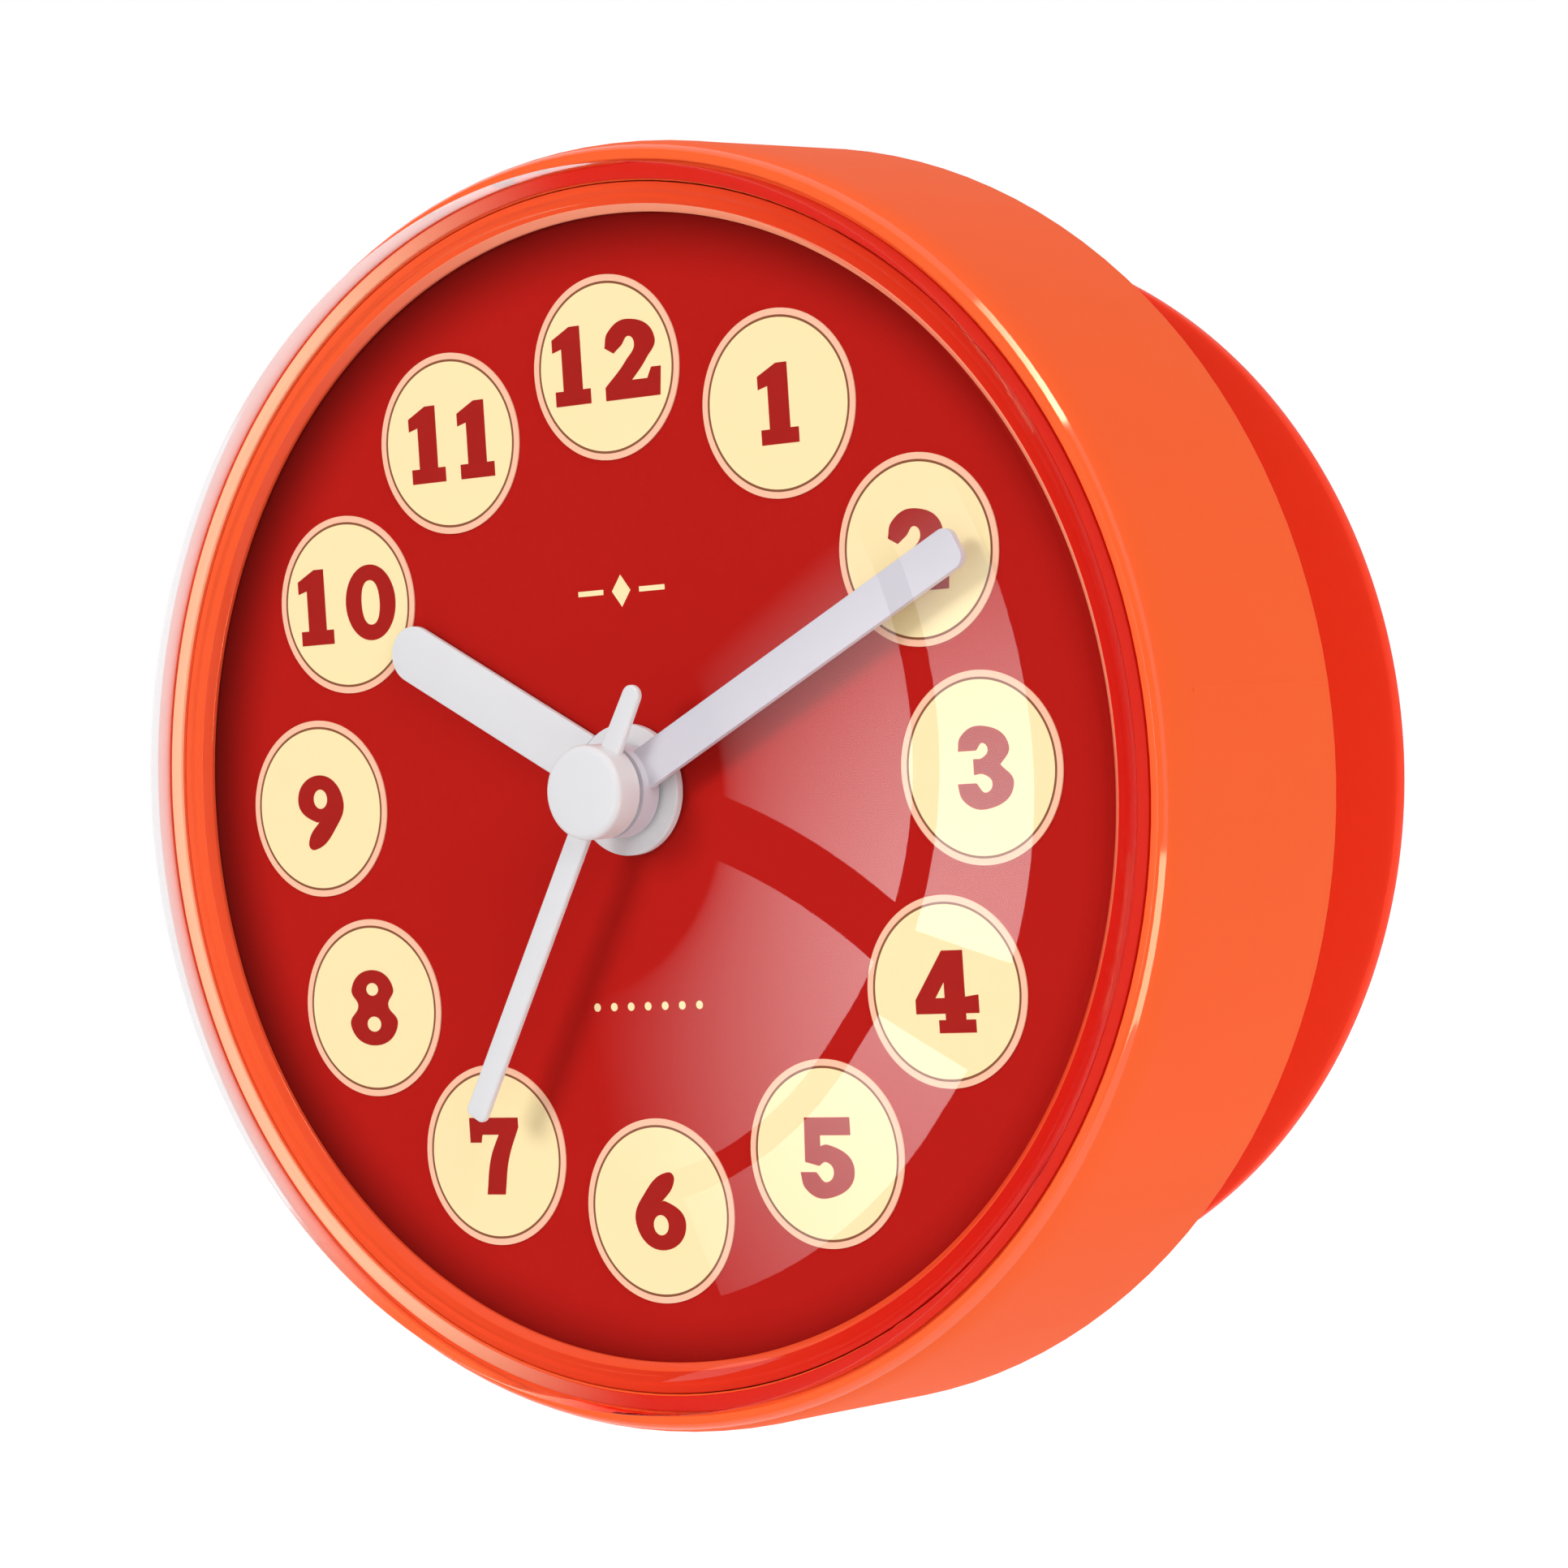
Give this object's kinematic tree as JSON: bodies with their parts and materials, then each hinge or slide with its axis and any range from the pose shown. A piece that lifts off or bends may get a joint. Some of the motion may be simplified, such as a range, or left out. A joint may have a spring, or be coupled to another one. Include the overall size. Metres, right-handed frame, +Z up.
{
  "type": "waterproof wall clock",
  "caption": "Round waterproof wall clock with a flared orange case, domed clear lens, red dial with cream hour badges, white hands and one large suction cup that it can turn on.",
  "frame": {"origin": "centre of the suction cup's rim, on the wall", "axes": "+Y into the wall, so the dial faces -Y; +Z up, towards 12 o'clock; +X towards 3 o'clock"},
  "size_m": [0.1052, 0.0536, 0.1052],
  "materials": {
    "case_plastic": "satin",
    "ring_plastic": "gloss",
    "cup_pvc": "satin",
    "stem_plastic": "satin",
    "lens_clear": "polished",
    "gasket_rubber": "satin",
    "seal_rubber": "matte",
    "dial_red": "satin",
    "badge_cream": "satin",
    "hand_white": "satin",
    "movement_plastic": "matte",
    "gear_plastic": "satin",
    "knob_plastic": "satin",
    "board_green": "satin",
    "blob_resin": "satin",
    "copper_wire": "satin",
    "brass": "satin",
    "steel": "satin",
    "battery_jacket": "gloss"
  },
  "bodies": {
    "wall_mount": {"suction_cup": "cup_pvc", "cup_stem": "stem_plastic"},
    "clock_case": {"stem_retainer": "case_plastic", "retainer_screws": "steel", "rear_cover": "case_plastic", "rear_seal": "seal_rubber", "cover_screws": "steel", "front_case": "case_plastic", "front_ring": "ring_plastic", "lens_gasket": "gasket_rubber", "lens": "lens_clear", "dial_plate": "dial_red", "hour_badges": "badge_cream", "movement_housing": "movement_plastic", "movement_cover": "movement_plastic", "middle_plate": "steel", "movement_screws": "steel", "circuit_board": "board_green", "quartz_crystal": "steel", "ic_blob": "blob_resin", "coil_bobbin": "gear_plastic", "coil_winding": "copper_wire", "stator": "steel", "battery": "battery_jacket", "battery_contact_plus": "steel", "battery_contact_minus": "steel"},
    "minute_set": {"minute_pipe": "brass", "minute_hand": "hand_white"},
    "hour_set": {"hour_wheel": "gear_plastic", "hour_hand": "hand_white"},
    "setting_set": {"minute_wheel": "gear_plastic", "setting_knob": "knob_plastic"},
    "second_set": {"second_wheel": "gear_plastic", "second_hand": "hand_white"},
    "intermediate_set": {"intermediate_wheel": "gear_plastic"},
    "rotor_set": {"rotor": "blob_resin"},
    "third_set": {"third_wheel": "gear_plastic"},
    "centre_set": {"centre_wheel": "brass"}
  },
  "joints": [
    {"name": "level_swivel", "type": "hinge", "parent": "wall_mount", "child": "clock_case", "pos_m": [0, 0, 0], "axis": [0, 1, 0], "continuous": true},
    {"name": "minute_spin", "type": "hinge", "parent": "clock_case", "child": "minute_set", "pos_m": [0, -0.03, 0], "axis": [0, 1, 0], "continuous": true},
    {"name": "hour_spin", "type": "hinge", "parent": "clock_case", "child": "hour_set", "pos_m": [0, -0.03, 0], "axis": [0, 1, 0], "continuous": true},
    {"name": "setting_spin", "type": "hinge", "parent": "clock_case", "child": "setting_set", "pos_m": [0.0095, -0.03, 0.00797], "axis": [0, 1, 0], "continuous": true},
    {"name": "second_spin", "type": "hinge", "parent": "clock_case", "child": "second_set", "pos_m": [0, -0.03, 0], "axis": [0, 1, 0], "continuous": true},
    {"name": "intermediate_spin", "type": "hinge", "parent": "clock_case", "child": "intermediate_set", "pos_m": [0.00846, -0.03, -0.00308], "axis": [0, 1, 0], "continuous": true},
    {"name": "rotor_spin", "type": "hinge", "parent": "clock_case", "child": "rotor_set", "pos_m": [0.01707, -0.03, -0.00156], "axis": [0, 1, 0], "continuous": true},
    {"name": "third_spin", "type": "hinge", "parent": "clock_case", "child": "third_set", "pos_m": [-0.00996, -0.03, 0.00575], "axis": [0, 1, 0], "continuous": true},
    {"name": "centre_spin", "type": "hinge", "parent": "clock_case", "child": "centre_set", "pos_m": [0, -0.03, 0], "axis": [0, 1, 0], "continuous": true}
  ],
  "couplings": [
    {"joint": "hour_spin", "follows": "minute_spin", "ratio": 0.083333},
    {"joint": "setting_spin", "follows": "minute_spin", "ratio": -0.33333},
    {"joint": "intermediate_spin", "follows": "second_spin", "ratio": -5},
    {"joint": "rotor_spin", "follows": "second_spin", "ratio": 30},
    {"joint": "third_spin", "follows": "second_spin", "ratio": -0.13333},
    {"joint": "centre_spin", "follows": "second_spin", "ratio": 0.016667}
  ]
}
